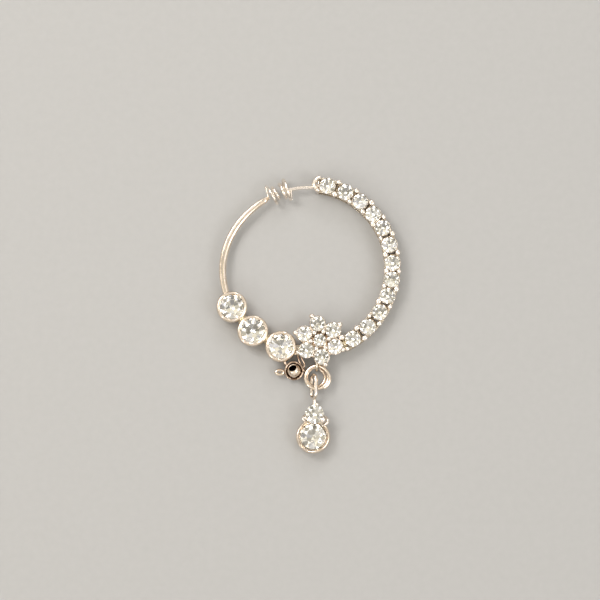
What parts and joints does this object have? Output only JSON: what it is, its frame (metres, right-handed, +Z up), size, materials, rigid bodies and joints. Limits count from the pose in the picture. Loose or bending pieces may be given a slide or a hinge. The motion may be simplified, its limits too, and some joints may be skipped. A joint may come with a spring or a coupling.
{
  "type": "nose ring",
  "caption": "Round press-on nose ring lying stones up: bezel-set stones, a flower cluster, a line of claw-set stones, spiral pinching pads and a small drop on a split ring",
  "frame": {"origin": "centre of the bounding box in plan, on the plane the ring lies on", "axes": "+Y from the drop towards the pinching pads, +Z up towards the viewer, out of the stones' tables, +X to the right as seen from above"},
  "size_m": [0.0284, 0.043, 0.0035],
  "materials": {
    "metal": "plated, polished, pale champagne",
    "stone": "clear round-cut stones, polished facets"
  },
  "bodies": {
    "root": {"hoop_frame": "metal", "split_ring": "metal", "drop_frame": "metal", "side_bead": "metal", "bezel_stone_1": "stone", "bezel_stone_2": "stone", "bezel_stone_3": "stone", "line_stone_1": "stone", "line_stone_2": "stone", "line_stone_3": "stone", "line_stone_4": "stone", "line_stone_5": "stone", "line_stone_6": "stone", "line_stone_7": "stone", "line_stone_8": "stone", "line_stone_9": "stone", "line_stone_10": "stone", "line_stone_11": "stone", "line_stone_12": "stone", "petal_stone_1": "stone", "petal_stone_2": "stone", "petal_stone_3": "stone", "petal_stone_4": "stone", "petal_stone_5": "stone", "petal_stone_6": "stone", "flower_centre_stone": "stone", "drop_stone_upper": "stone", "drop_stone_lower": "stone"}
  },
  "joints": []
}
